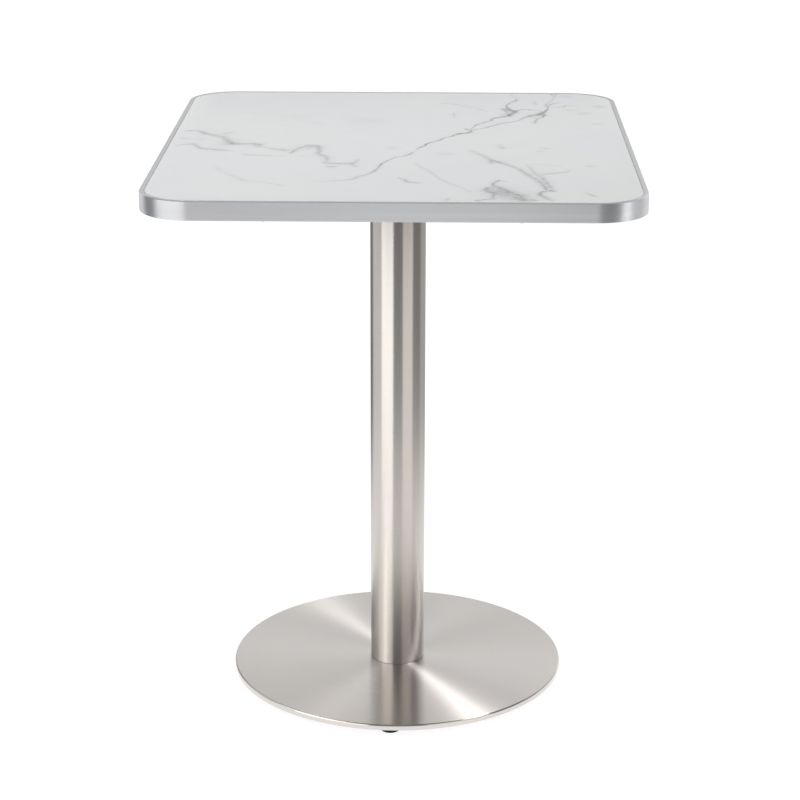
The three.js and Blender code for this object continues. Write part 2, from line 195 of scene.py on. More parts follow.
def turned_mesh(name, outline, steps, closed=False):
    """A mesh turned about Z, from (radius, z) points. A radius may be a function of angle and z.

    An open outline starts and ends on the axis. A closed one makes a ring.
    """
    shape = bmesh.new()
    rows = []
    for radius, z in outline:
        if radius == 0:
            rows.append([shape.verts.new((0, 0, z))] * steps)
            continue
        row = []
        for step in range(steps):
            angle = 2 * math.pi * step / steps
            reach = radius(angle, z) if callable(radius) else radius
            row.append(shape.verts.new((reach * math.cos(angle), reach * math.sin(angle), z)))
        rows.append(row)
    if closed:
        rows.append(rows[0])
    skin(shape, rows)
    return finished_mesh(name, shape)


def top_outline(inset, corner_steps):
    """The table top's outline drawn in by an inset, counter-clockwise from the seam at the back."""
    half_width = TRIM_HIGH.x - inset
    half_depth = TRIM_HIGH.y - inset
    radius = TOP_CORNER_RADIUS - inset
    corner_x = half_width - radius
    corner_y = half_depth - radius
    points = [(-SEAM_WIDTH / 2, half_depth)]
    corners = [(-corner_x, corner_y, 90), (-corner_x, -corner_y, 180)]
    corners += [(corner_x, -corner_y, 270), (corner_x, corner_y, 0)]
    for x, y, start in corners:
        for step in range(corner_steps + 1):
            angle = math.radians(start + 90 * step / corner_steps)
            points.append((x + radius * math.cos(angle), y + radius * math.sin(angle)))
    points.append((SEAM_WIDTH / 2, half_depth))
    return points


def keep_result(piece):
    """Replaces a piece's mesh with what its modifiers make of it."""
    graph = bpy.context.evaluated_depsgraph_get()
    result = bpy.data.meshes.new_from_object(piece.evaluated_get(graph))
    piece.modifiers.clear()
    piece.data = result


def cut_holes(piece, places, radius, low, high):
    """Cuts round upright holes through a piece at (x, y) places, and keeps the result as its mesh."""
    shape = bmesh.new()
    for x, y in places:
        bmesh.ops.create_cone(
            shape,
            cap_ends=True,
            segments=SMALL_STEPS,
            radius1=radius,
            radius2=radius,
            depth=high - low,
            matrix=Matrix.Translation((x, y, (low + high) / 2)),
        )
    cutter = bpy.data.objects.new("cutter", plain_mesh("cutter", shape))
    bpy.context.scene.collection.objects.link(cutter)
    cut = piece.modifiers.new("holes", "BOOLEAN")
    cut.operation = "DIFFERENCE"
    cut.solver = "EXACT"
    cut.object = cutter
    keep_result(piece)
    bpy.data.objects.remove(cutter)
    piece.data.set_sharp_from_angle(angle=SHARP_ANGLE)


# ---- Material helpers ----


class Nodes:
    """Adds nodes to a node tree. A value given for an input is either a number or another node's output."""

    def __init__(self, tree):
        self.tree = tree

    def add(self, kind, inputs=None, **settings):
        node = self.tree.nodes.new("ShaderNode" + kind)
        for name, value in settings.items():
            setattr(node, name, value)
        for name, value in (inputs or {}).items():
            self.set(node.inputs[name], value)
        return node

    def set(self, socket, value):
        if isinstance(value, bpy.types.NodeSocket):
            self.tree.links.new(value, socket)
        else:
            socket.default_value = value

    def operate(self, kind, operation, values):
        """A node that works on values in turn."""
        node = self.add(kind, operation=operation)
        for socket, value in zip(node.inputs, values):
            self.set(socket, value)
        return node.outputs

    def maths(self, operation, *values):
        return self.operate("Math", operation, values)["Value"]

    def times(self, first, second):
        return self.maths("MULTIPLY", first, second)

    def vector(self, operation, *values):
        return self.operate("VectorMath", operation, values)["Vector"]

    def stretched(self, place, scales):
        return self.vector("MULTIPLY", place, scales)

    def distance(self, place, origin=(0, 0, 0)):
        return self.operate("VectorMath", "DISTANCE", (place, origin))["Value"]

    def remap(self, value, low, high, to_low, to_high, smooth=False):
        kind = "SMOOTHSTEP" if smooth else "LINEAR"
        inputs = {"Value": value, "From Min": low, "From Max": high}
        inputs.update({"To Min": to_low, "To Max": to_high})
        return self.add("MapRange", inputs, interpolation_type=kind).outputs["Result"]

    def mix(self, factor, first, second):
        node = self.add("Mix", data_type="RGBA")
        sockets = [s for s in node.inputs if s.enabled]
        for socket, value in zip(sockets, (factor, first, second)):
            self.set(socket, value)
        return next(s for s in node.outputs if s.enabled)

    def curve(self, value, points):
        """A curve through (x, y) points: straight between them, level beyond them."""
        node = self.add("FloatCurve", {"Value": value})
        node.mapping.extend = "HORIZONTAL"
        curve = node.mapping.curves[0]
        for x, y in points[1:-1]:
            curve.points.new(x, y)
        for point, (x, y) in zip(curve.points, points):
            point.location = (x, y)
            point.handle_type = "VECTOR"
        node.mapping.update()
        return node.outputs["Value"]


class Look(Nodes):
    """A material and its nodes. Inputs of its shader are named with _ for a space."""

    def __init__(self, name, **uniform):
        self.material = bpy.data.materials.new(name)
        self.material.use_nodes = True
        super().__init__(self.material.node_tree)
        self.shader = self.tree.nodes["Principled BSDF"]
        self.place = self.add("TexCoord").outputs["Object"]
        self.feed(**uniform)

    def feed(self, **values):
        """Sets or links inputs of the shader."""
        for name, value in values.items():
            self.set(self.shader.inputs[name.replace("_", " ")], value)

    def noise(self, scale, detail=2.0, roughness=0.5, place=None, output="Fac"):
        where = self.place if place is None else place
        inputs = {"Vector": where, "Scale": scale, "Detail": detail, "Roughness": roughness}
        return self.add("TexNoise", inputs).outputs[output]

    def vary(self, noise, low=0, high=1, smooth=False):
        """Spreads the middle of a noise's range from low to high."""
        return self.remap(noise, 0.3, 0.7, low, high, smooth)

    def bump(self, height, distance, strength=1.0):
        inputs = {"Height": height, "Distance": distance, "Strength": strength}
        self.feed(Normal=self.add("Bump", inputs).outputs["Normal"])

    def coat(self, tone, colours, uneven, roughness, height, distance, strength):
        """Colour, roughness and relief, each from a noise of its own or a shared one."""
        self.feed(Base_Color=self.mix(tone, *colours), Roughness=self.vary(uneven, *roughness))
        self.bump(height, distance, strength)
        return self.material

    def blend(self, factor, first, second):
        """Shows a blend of two shaders, the first at 0 and the second at 1, in place of the usual one."""
        both = self.add("MixShader")
        for socket, value in zip(both.inputs, (factor, first, second)):
            self.set(socket, value)
        output = self.tree.nodes["Material Output"]
        self.set(output.inputs["Surface"], both.outputs["Shader"])


def grey(level, warmth=0.0):
    """A linear colour of one brightness, a little warm or cool."""
    return (level * (1 + warmth), level, level * (1 - warmth), 1)


# ---- Marble ----

# Each vein is a chain of (x, y, width, darkness) points, in millimetres from the middle of the top and in
# percent. They run one way along the line from the first of them to the last, and those two lie apart.
SOFT_VEINS = [
    # Left: the upper of the two soft grey veins, its hook and where it runs out.
    [(-288, 60, 3, 25), (-281, 62, 4, 50), (-274, 61, 5, 60), (-267, 62, 3.5, 50), (-261, 55, 4, 65),
     (-256, 46, 5, 75), (-250, 38, 5, 50), (-243, 33, 4, 50), (-234, 25, 5, 50), (-227, 19, 6, 50),
     (-222, 0, 8, 60), (-216, -19, 9, 80), (-208, -24, 9, 80), (-197, -22, 6, 60), (-187, -21, 7, 65),
     (-182, -27, 7, 55), (-179, -37, 5, 50), (-172, -44, 4, 35)],
    [(-184, -22, 3, 20), (-176, -24, 5, 50), (-173, -33, 3, 20)],
    [(-172, -44, 4, 35), (-164, -46, 2.5, 30), (-158, -53, 3, 50), (-150, -56, 4, 60), (-142, -60, 4.5, 65),
     (-134, -55, 3, 50)],
    [(-136, -82, 3, 40), (-132, -68, 3.5, 60), (-127, -50, 4, 60), (-122, -40, 4, 55), (-116, -30, 4, 50),
     (-111, -24, 4, 40)],
    [(-113, -23, 3, 40), (-107, -28, 4, 55), (-102, -38, 4.5, 60), (-100, -50, 4.5, 60), (-98, -63, 4, 55),
     (-99, -80, 4, 55), (-95, -90, 4, 55), (-89, -96, 4, 55), (-87, -108, 4, 50), (-87, -122, 3.5, 30),
     (-88, -136, 4, 30)],
    [(-109, -30, 3, 30), (-112, -45, 5, 40), (-114, -58, 4, 20)],
    [(-92, -140, 6, 25), (-86, -137, 4, 50), (-75, -138, 5, 55), (-65, -139, 5, 60), (-57, -138, 5, 65),
     (-52, -134, 4, 60), (-49, -124, 3.5, 50), (-47, -110, 2.5, 30)],
    [(-58, -140, 4, 40), (-53, -148, 3, 45), (-49, -156, 2.5, 35), (-46, -164, 2, 20)],
    [(-88, -150, 6, 15), (-84, -157, 5, 30), (-76, -158, 5, 35), (-68, -153, 4, 25)],
    [(-243, 36, 3, 30), (-232, 41, 3, 45), (-220, 49, 3, 40), (-212, 53, 2, 15)],
    [(-288, 19, 3, 15), (-281, 13, 3.5, 30), (-273, 7, 3, 28), (-266, 3, 3, 10)],
    # Left: the lower one, then a faint pair below.
    [(-290, -38, 2, 20), (-285, -35, 3, 50), (-279, -30, 3.5, 50), (-272, -27, 4, 55), (-265, -24, 4.5, 65),
     (-260, -31, 4, 60), (-255, -42, 4, 55), (-252, -51, 4.5, 60), (-243, -55, 4, 55), (-232, -59, 4.5, 60),
     (-222, -62, 4, 50), (-214, -65, 3, 40), (-206, -71, 2, 15)],
]
FINE_VEINS = [
    # Middle: the long vein that rises from the front left and darkens towards the back right.
    [(-100, -242, 6, 8), (-76, -238, 6, 18), (-57, -231, 5, 25), (-50, -225, 5, 40), (-42, -210, 5, 30),
     (-33, -198, 5, 30), (-26, -180, 4.5, 50), (-22, -163, 4, 60), (-20, -150, 3.5, 65), (-16, -135, 3, 70),
     (-12, -122, 2.5, 65), (-6, -110, 3, 35), (0, -98, 3, 40), (8, -93, 3, 55), (14, -85, 3.5, 60),
     (19, -72, 3, 50), (22, -60, 2, 20)],
    [(22, -60, 2, 15), (26, -45, 2.5, 60), (30, -37, 3, 85), (34, -28, 3, 90), (37, -15, 3, 90),
     (42, -8, 3, 80), (49, 1, 2.8, 85), (54, 8, 3.2, 85), (60, 23, 3, 80), (69, 33, 3, 60),
     (77, 47, 4.5, 80), (83, 53, 7, 90), (92, 57, 6, 85), (95, 66, 4, 85), (95, 76, 4, 80)],
    [(94, 76, 3, 70), (88, 81, 3, 70), (85, 91, 2, 30)],
    # Back right: its upper branch, with the spur to the back edge.
    [(94, 78, 2.5, 50), (96, 88, 2, 40), (100, 100, 2, 50), (104, 112, 3, 60), (112, 127, 3, 60),
     (122, 140, 3, 60), (126, 154, 3, 65), (132, 163, 6, 75), (142, 171, 6, 70), (148, 173, 6, 80),
     (150, 187, 8, 85), (157, 200, 7, 90), (159, 212, 4, 70), (166, 219, 3, 60), (174, 223, 4, 70)],
    [(173, 223, 4, 70), (183, 215, 3, 50), (192, 210, 2.5, 50), (197, 201, 3, 50)],
    [(157, 202, 6, 80), (152, 216, 7, 70), (148, 232, 5, 65), (146, 250, 2.5, 60), (150, 264, 2.5, 50),
     (156, 277, 3.5, 50), (160, 287, 4.5, 65), (162, 303, 2, 20), (157, 325, 2, 15), (157, 345, 2.5, 35)],
    [(139, 232, 4, 30), (141, 224, 7, 70), (145, 210, 4, 40), (146, 194, 3, 30), (149, 184, 3, 30)],
    # Back right: its lower branch, the loop at its end and the twig that hangs from it.
    [(96, 76, 3, 60), (104, 83, 3, 35), (113, 88, 3, 40), (120, 100, 3.5, 55), (127, 109, 4, 60),
     (135, 120, 4, 60), (147, 129, 3.5, 50), (155, 138, 3, 55), (163, 149, 3, 50), (170, 163, 3.5, 50),
     (178, 177, 5, 75), (187, 181, 9, 90), (192, 190, 9, 90), (197, 201, 6, 85), (201, 216, 3.5, 80),
     (204, 231, 3, 70)],
    [(204, 231, 3, 70), (204, 244, 3, 60), (201, 256, 3.5, 50), (206, 272, 3, 25), (212, 286, 4, 20),
     (214, 300, 4, 20), (216, 320, 4, 20), (214, 345, 5, 50)],
    [(216, 318, 2, 20), (220, 332, 3, 40), (222, 346, 4, 45)],
    [(205, 247, 3, 45), (208, 260, 3.5, 50), (214, 270, 3.5, 45), (221, 273, 3.5, 45), (226, 268, 4, 50),
     (231, 259, 4, 50)],
    [(205, 247, 3, 35), (210, 240, 3, 35), (217, 237, 3, 40), (225, 243, 3.5, 45), (230, 252, 4, 50),
     (231, 259, 4, 45)],
    [(230, 260, 3, 35), (238, 253, 3, 30), (246, 247, 3, 12)],
    [(198, 190, 4, 70), (196, 178, 4, 65), (192, 165, 3.5, 50), (186, 156, 4, 45), (183, 142, 5, 50),
     (182, 128, 5, 40), (181, 114, 3, 10)],
    [(187, 290, 5, 10), (187, 268, 6, 20), (188, 250, 5, 15)],
]
OTHER_VEINS = [
    # Left: a faint pair below the soft veins.
    [(-198, -78, 3, 10), (-194, -85, 4, 30), (-188, -90, 4, 35), (-175, -91, 3.5, 40), (-162, -93, 2.5, 45),
     (-150, -94, 2, 25), (-128, -95, 2, 15), (-104, -88, 2, 12)],
    [(-226, -150, 4, 10), (-218, -173, 4, 17), (-208, -190, 3.5, 15), (-198, -209, 3.5, 20),
     (-188, -226, 4, 20), (-179, -241, 4, 24), (-161, -241, 3.5, 17), (-150, -250, 3.5, 20),
     (-138, -258, 4, 22), (-130, -272, 4, 8)],
    # Back: two faint strokes left of the branches.
    [(52, 266, 3, 15), (58, 265, 4, 35), (67, 264, 3, 25), (78, 255, 3, 30), (88, 242, 4, 28),
     (100, 232, 4, 20), (112, 215, 4, 18), (121, 202, 3, 10)],
    [(73, 197, 2, 20), (72, 185, 2.5, 35), (73, 170, 2, 30), (75, 152, 1.5, 10)],
    # Front right: the long stroke that falls to the front edge, with its strands and side branch.
    [(90, -52, 4, 15), (97, -65, 5, 30), (103, -76, 5, 35), (111, -92, 5, 45), (117, -110, 5, 50),
     (125, -122, 6, 60), (134, -134, 5, 50), (143, -148, 4.5, 45), (150, -164, 4.5, 45), (158, -187, 5, 50),
     (164, -207, 5, 50), (171, -226, 5, 50), (177, -245, 5, 55), (179, -262, 4, 60), (180, -280, 4, 85)],
    [(160, -128, 3, 10), (164, -148, 3, 25), (167, -168, 4, 30), (170, -190, 5, 35), (176, -206, 5, 40),
     (180, -225, 5, 45), (183, -245, 5, 45), (186, -265, 5, 45), (187, -283, 3, 30)],
    [(176, -197, 3, 40), (184, -192, 3.5, 45), (194, -187, 3.5, 50), (207, -181, 3, 50), (212, -176, 3, 40),
     (215, -164, 2, 30)],
    [(180, -281, 5, 85), (186, -284, 5, 70), (191, -291, 3, 40)],
    [(181, -281, 5, 80), (174, -289, 5, 65), (171, -300, 5, 70), (173, -310, 5, 60), (180, -325, 5, 50),
     (186, -339, 4, 40)],
    [(117, -112, 5, 30), (118, -125, 6, 40), (118, -140, 4, 20)],
    [(167, -134, 4, 12), (187, -142, 4, 15), (207, -146, 4, 12)],
    # Front: the broad smudge, with the darker strands in it.
    [(137, -236, 4, 50), (131, -233, 4, 60), (125, -228, 5, 70), (120, -238, 4.5, 60), (115, -252, 5, 70)],
    [(114, -250, 5, 60), (120, -260, 5, 50), (128, -273, 6, 60), (133, -288, 7, 60), (140, -298, 8, 55),
     (148, -310, 9, 70), (149, -322, 8, 60), (153, -338, 8, 50)],
    [(118, -258, 4, 40), (110, -268, 5, 60), (108, -280, 6, 65), (113, -290, 7, 60), (119, -300, 7, 50)],
    [(119, -296, 6, 50), (117, -312, 4, 50), (116, -326, 4, 50), (107, -330, 4, 50), (99, -335, 4, 50),
     (96, -341, 4, 40)],
    [(114, -262, 14, 25), (122, -285, 24, 50), (132, -308, 26, 45), (150, -330, 24, 42),
     (158, -344, 20, 35)],
    [(159, -326, 6, 20), (165, -340, 8, 35)],
    # Front: thin strokes between the smudge and the middle.
    [(23, -130, 3, 10), (28, -148, 3, 25), (35, -162, 3, 25), (41, -180, 3, 25), (48, -200, 3, 25),
     (55, -224, 3, 25), (63, -243, 3, 22), (77, -265, 3, 20), (93, -295, 3, 12)],
    [(2, -215, 4, 25), (8, -222, 4, 35), (13, -229, 4, 55), (16, -238, 4, 60), (24, -243, 4, 60),
     (34, -248, 3, 35)],
    [(132, -12, 5, 12), (131, -28, 6, 25), (134, -40, 7, 35), (134, -50, 4, 15)],
    [(222, -290, 3, 15), (228, -298, 3, 30), (233, -307, 4, 40), (239, -318, 3, 20)],
    [(61, -338, 5, 40), (64, -328, 4, 30), (66, -316, 2, 10)],
]

# Soft round clouds, as (x, y, radius, darkness), in millimetres and percent.
CLOUDS = [
    (-256, 4, 9, 14), (277, 245, 10, 25), (251, 195, 10, 22), (235, 217, 12, 12), (265, 122, 9, 15),
    (232, 322, 12, 15), (-110, 115, 10, 8), (-50, 137, 22, 7), (-30, 135, 15, 7), (-140, 157, 20, 5),
    (-7, -45, 10, 10), (181, -58, 5, 25), (189, -40, 8, 15), (60, -77, 12, 12), (240, -146, 7, 20),
    (150, 213, 9, 30), (144, 184, 9, 30), (191, 186, 9, 30), (180, 168, 8, 20),
]
VEIN_DARKNESS = 0.9
# How far each group of veins spreads, and how strong it is, beside what its points say.
SOFT = (2.1, 0.85)
FINE = (1.0, 1.3)
MIDDLING = (1.5, 0.9)
# How much longer than its radius a cloud takes to fade out.
CLOUD_REACH = 1.6


def vein_shade(look, place, chain, spread, strength):
    """How much one vein darkens each place, from 0 to 1."""
    start = Vector(chain[0][:2]) * MM
    end = Vector(chain[-1][:2]) * MM
    length = (end - start).length
    heading = math.atan2(end.y - start.y, end.x - start.x)
    # The vein's own frame: 0 to 1 from its start to its end, and sideways in the same unit.
    turn = Matrix.Rotation(-heading, 2) * (1 / length)
    shift = turn @ -start
    inputs = {
        "Vector": place,
        "Location": (shift.x, shift.y, 0),
        "Rotation": (0, 0, -heading),
        "Scale": (1 / length, 1 / length, 1),
    }
    local = look.add("Mapping", inputs, vector_type="POINT")
    parts = look.add("SeparateXYZ", {"Vector": local.outputs["Vector"]})
    along = parts.outputs["X"]
    # A curve's heights run from 0 to 1, so the route is raised by half.
    raised = 0.5
    route = []
    widths = []
    shades = [(0, 0)]
    fade = 3 * MM / length
    for x, y, width, darkness in chain:
        point = turn @ (Vector((x, y)) * MM) + shift
        route.append((min(max(point.x, 0), 1), point.y + raised))
        widths.append((route[-1][0], spread * width * MM / length))
        shades.append((min(max(point.x, fade), 1 - fade), min(strength * darkness * PERCENT, 1)))
    shades.append((1, 0))
    aside = look.maths("SUBTRACT", parts.outputs["Y"], look.curve(along, route))
    aside = look.maths("ADD", aside, raised)
    reach = look.maths("DIVIDE", aside, look.times(look.curve(along, widths), 0.5))
    # A dark core with a soft halo: 1 / (1 + r^2) ^ 1.5
    falloff = look.maths("MULTIPLY_ADD", reach, reach, 1.0)
    core = look.maths("POWER", falloff, -1.5)
    return look.times(core, look.curve(along, shades))


def cloud_shade(look, place, x, y, radius, darkness):
    """How much one soft round cloud darkens each place, from 0 to 1."""
    offset = look.distance(place, (x * MM, y * MM, SLAB_HIGH.z))
    return look.remap(offset, 0, CLOUD_REACH * radius * MM, darkness * PERCENT, 0, smooth=True)


def marble():
    look = Look("marble")
    place = look.place
    # The veins wander a little about their routes, in large waves and in fine ones.
    middle = (0.5, 0.5, 0.5)
    waves = look.vector("SUBTRACT", look.noise(45, 5, 0.65, output="Color"), middle)
    ripple = look.vector("SUBTRACT", look.noise(240, 3, output="Color"), middle)
    wander = look.vector("ADD", look.stretched(waves, (7 * MM, 9 * MM, 0)), place)
    wander = look.vector("ADD", look.stretched(ripple, (2.2 * MM, 2.8 * MM, 0)), wander)
    patchy = look.vary(look.noise(130, 4, 0.6), 0.55, 1.25)
    shades = []
    for veins, manner in ((SOFT_VEINS, SOFT), (FINE_VEINS, FINE), (OTHER_VEINS, MIDDLING)):
        shades += [vein_shade(look, wander, chain, *manner) for chain in veins]
    shades += [cloud_shade(look, wander, *cloud) for cloud in CLOUDS]
    clear = 1.0
    for shade in shades:
        clear = look.times(clear, look.maths("SUBTRACT", 1.0, shade))
    dark = look.times(look.maths("SUBTRACT", 1.0, clear), patchy)
    dark = look.times(dark, VEIN_DARKNESS)
    # The ground is almost white, with broad clouds of a slightly cooler or greener white.
    tint = look.remap(look.noise(5, 3), 0.35, 0.65, 0, 1, smooth=True)
    ground = look.mix(tint, (0.785, 0.80, 0.795, 1), (0.775, 0.785, 0.80, 1))
    mottle = look.vary(look.noise(28, 6, 0.65), 0.0, 0.05)
    ground = look.mix(mottle, ground, (0.5, 0.52, 0.54, 1))
    colour = look.mix(dark, ground, (0.12, 0.122, 0.132, 1))
    look.feed(Base_Color=colour, Roughness=look.vary(look.noise(60, 3), 0.28, 0.36))
    look.bump(look.noise(900, 3), 0.01 * MM)
    return look.material


# ---- Metals ----

# Grooves of a brushed metal for each metre across them, and how slowly they change along it.
TUBE_GRAIN = (18, 18, 2600)
DISC_GROOVES = 3400
DISC_DRIFT = 14
TRIM_GRAIN = (14, 3000, 1)


def brushed(name, grain_place, colour, tint, roughness, anisotropy, streak_depth=0.16, relief=0.6):
    """A brushed metal. The grain runs where grain_place changes slowly, which is given in grooves."""
    look = Look(name, Metallic=1.0, Anisotropic=anisotropy, Anisotropic_Rotation=0.25)
    grooves = grain_place(look)
    fine = look.noise(1.0, 4, 0.7, place=grooves)
    broad = look.noise(0.12, 2, 0.5, place=grooves)
    patches = look.vary(look.noise(9, 3), smooth=True)
    ground = look.mix(patches, colour, tint)
    streaks = look.maths("MULTIPLY_ADD", broad, 0.5, look.times(fine, 0.5))
    shade = look.vary(streaks, 0.0, streak_depth)
    uneven = 0.2 * streak_depth
    look.feed(
        Base_Color=look.mix(shade, ground, grey(0.30, 0.02)),
        Roughness=look.vary(streaks, roughness - uneven, roughness + uneven),
        Tangent=look.add("Tangent", direction_type="RADIAL", axis="Z").outputs["Tangent"],
    )
    look.bump(fine, 0.004 * MM, relief)
    return look


def round_the_tube(look):
    """Grooves that run round the column: quick change along its length, slow change round it."""
    return look.stretched(look.place, TUBE_GRAIN)


def distance_from_axis(look):
    return look.distance(look.stretched(look.place, (1, 1, 0)))


def round_the_disc(look):
    """Grooves that run in circles: quick change along the radius, slow change round it."""
    parts = look.add("SeparateXYZ", {"Vector": look.place}).outputs
    outward = look.times(distance_from_axis(look), DISC_GROOVES)
    depth = look.maths("MULTIPLY_ADD", parts["Z"], DISC_GROOVES, outward)
    slow_x = look.times(parts["X"], DISC_DRIFT)
    slow_y = look.times(parts["Y"], DISC_DRIFT)
    return look.add("CombineXYZ", {"X": depth, "Y": slow_x, "Z": slow_y}).outputs["Vector"]


def along_the_trim(look):
    """Grooves that run along the trim. Its UV map is metres along it and metres across it."""
    mapped = look.add("UVMap", uv_map="trim_length").outputs["UV"]
    return look.stretched(mapped, TRIM_GRAIN)


def column_steel():
    warm, mauve = (0.665, 0.635, 0.59, 1), (0.66, 0.625, 0.605, 1)
    values = {"roughness": 0.29, "anisotropy": 0.94, "streak_depth": 0.08, "relief": 0.2}
    return brushed("column_steel", round_the_tube, warm, mauve, **values).material


def disc_steel():
    warm, mauve = (0.665, 0.63, 0.595, 1), (0.66, 0.625, 0.61, 1)
    values = {"roughness": 0.27, "anisotropy": 0.96, "streak_depth": 0.03, "relief": 0.03}
    look = brushed("disc_steel", round_the_disc, warm, mauve, **values)
    # The rolled edge is smoother than the flat.
    brushed_roughness = look.shader.inputs["Roughness"].links[0].from_socket
    outer = COVER_HIGH.x
    edge = look.remap(distance_from_axis(look), outer - COVER_EDGE_RADIUS, outer - MM, 0, -0.14)
    look.feed(Roughness=look.maths("ADD", brushed_roughness, edge))
    return look.material


def trim_aluminium():
    pale, cool = (0.78, 0.785, 0.80, 1), (0.76, 0.775, 0.80, 1)
    look = brushed("trim_aluminium", along_the_trim, pale, cool, roughness=0.42, anisotropy=0.75)
    across = look.add("Tangent", direction_type="UV_MAP", uv_map="trim_length")
    look.feed(Tangent=across.outputs["Tangent"])
    return look.material


def zinc():
    look = Look("zinc_plate", Metallic=1.0)
    tone = look.vary(look.noise(350, 3))
    colours = ((0.60, 0.62, 0.64, 1), (0.66, 0.645, 0.58, 1))
    return look.coat(tone, colours, look.noise(900, 4), (0.28, 0.45), look.noise(1500, 3), 0.02 * MM, 0.5)


def black_casting():
    """Powder coat over a sand casting: fine orange peel over a coarse, slightly uneven skin."""
    look = Look("powder_coated_casting", Metallic=0.0)
    peel = look.noise(700, 3)
    tone = look.vary(look.noise(30, 3))
    height = look.maths("MULTIPLY_ADD", look.noise(110, 4), 3.0, peel)
    return look.coat(tone, (grey(0.017), grey(0.027, 0.02)), peel, (0.42, 0.6), height, 0.06 * MM, 0.7)


def mill_steel():
    """Primed plate steel: flat dark grey, with roller marks one way and paler rubbed patches."""
    look = Look("primed_steel", Metallic=0.35)
    rolled = look.noise(1.0, 4, place=look.stretched(look.place, (6, 240, 240)))
    patches = look.noise(14, 5, 0.6)
    tone = look.maths("MULTIPLY_ADD", rolled, 0.5, look.times(patches, 0.5))
    tone = look.remap(tone, 0.35, 0.65, 0, 1)
    return look.coat(tone, (grey(0.07), grey(0.125, 0.015)), patches, (0.5, 0.68), rolled, 0.03 * MM, 0.5)


# ---- Board, sheet and plastic ----


def backing_laminate():
    look = Look("dark_laminate")
    stipple = look.noise(1200, 2)
    tone = look.vary(look.noise(16, 4))
    colours = (grey(0.038, -0.03), grey(0.052, -0.02))
    return look.coat(tone, colours, stipple, (0.5, 0.62), stipple, 0.03 * MM, 0.6)


def fibreboard():
    look = Look("pressed_fibre", Roughness=0.9)
    fibres = look.noise(1.0, 5, 0.7, place=look.stretched(look.place, (300, 300, 1500)))
    look.feed(Base_Color=look.mix(look.vary(fibres), (0.25, 0.155, 0.075, 1), (0.42, 0.29, 0.16, 1)))
    look.bump(fibres, 0.1 * MM, 0.6)
    return look.material


def black_plastic():
    look = Look("moulded_plastic", Specular_IOR_Level=0.3)
    grain = look.noise(1800, 2)
    tone = look.vary(look.noise(120, 3))
    return look.coat(tone, (grey(0.010), grey(0.018)), grain, (0.38, 0.52), grain, 0.03 * MM, 0.5)


# ---- Table top ----

CORNER_STEPS = 28
ARRIS_STEPS = 4
TRIM_FOLD = 0.4 * MM
SCREW_HOLE_RADIUS = 2.05 * MM
# How far a cut runs past the face it goes through.
CUT_MARGIN = 1 * MM


def marble_slab(material):
    """The slab, with its upper arris rounded over."""
    inset = SLAB_LOW.x - TRIM_LOW.x
    levels = [(inset, SLAB_LOW.z)]
    for step in range(ARRIS_STEPS + 1):
        angle = math.radians(90 * step / ARRIS_STEPS)
        drawn_in = inset + SLAB_ARRIS * (1 - math.cos(angle))
        levels.append((drawn_in, SLAB_HIGH.z - SLAB_ARRIS * (1 - math.sin(angle))))
    shape = bmesh.new()
    rows = []
    for drawn_in, z in levels:
        # The slab has no seam, so the outline's two seam points are left out.
        outline = top_outline(drawn_in, CORNER_STEPS)[1:-1]
        rows.append([shape.verts.new((x, y, z)) for x, y in outline])
    skin(shape, rows)
    shape.faces.new(rows[-1])
    shape.faces.new(reversed(rows[0]))
    return stand_in("marble_slab", finished_mesh("marble_slab", shape), material, "marble_panel")


def trim_section():
    """The trim's section as (inset, z, radius) corners, up the outside and back down the inside."""
    bottom, top = TRIM_LOW.z, TRIM_HIGH.z
    return [
        (0, bottom, TRIM_ARRIS),
        (0, top, TRIM_ARRIS),
        (LIP_WIDTH, top, TRIM_FOLD),
        (LIP_WIDTH, top - LIP_DEPTH, TRIM_FOLD),
        (TRIM_WALL, top - LIP_DEPTH, 0),
        (TRIM_WALL, bottom + FLANGE_THICKNESS, 0),
        (FLANGE_WIDTH, bottom + FLANGE_THICKNESS, TRIM_FOLD),
        (FLANGE_WIDTH, bottom, TRIM_FOLD),
    ]


def distances(points):
    """How far each point is along a line through all of them."""
    lengths = [0.0]
    for here, after in zip(points, points[1:]):
        lengths.append(lengths[-1] + (Vector(after) - Vector(here)).length)
    return lengths


def trim_strip(material):
    """The trim, bent once round the top, with its two ends meeting at the back."""
    section = rounded(trim_section())
    outlines = [top_outline(inset, CORNER_STEPS) for inset, z in section]
    stations = len(outlines[0])
    lengths = distances(outlines[0])
    widths = distances(section + section[:1])
    shape = bmesh.new()
    mapping = shape.loops.layers.uv.new("trim_length")
    rows = []
    for station in range(stations):
        points = [outline[station] for outline in outlines]
        rows.append([shape.verts.new((x, y, z)) for (x, y), (inset, z) in zip(points, section)])
    for station in range(stations - 1):
        for corner in range(len(section)):
            after = (corner + 1) % len(section)
            ring = [(station, corner), (station + 1, corner), (station + 1, after), (station, after)]
            face = shape.faces.new([rows[row][column] for row, column in ring])
            across = [widths[corner], widths[corner], widths[corner + 1], widths[corner + 1]]
            for loop, (row, column), width in zip(face.loops, ring, across):
                loop[mapping].uv = (lengths[row], width)
    shape.faces.new(reversed(rows[0]))
    shape.faces.new(rows[-1])
    piece = new_piece("trim_strip", finished_mesh("trim_strip", shape), material)
    places = places_of("trim_screw", SCREW_COUNT)
    above_flange = TRIM_LOW.z + 2 * FLANGE_THICKNESS
    cut_holes(piece, places, SCREW_HOLE_RADIUS, TRIM_LOW.z - CUT_MARGIN, above_flange)
    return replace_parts(piece, "edge_trim")


# ---- Spider and fasteners ----

# How fine the spider's skin is, how often it is smoothed, and how much of its mesh is kept.
SPIDER_VOXEL = 1.3 * MM
SPIDER_SMOOTHINGS = 6
SPIDER_KEPT = 0.35

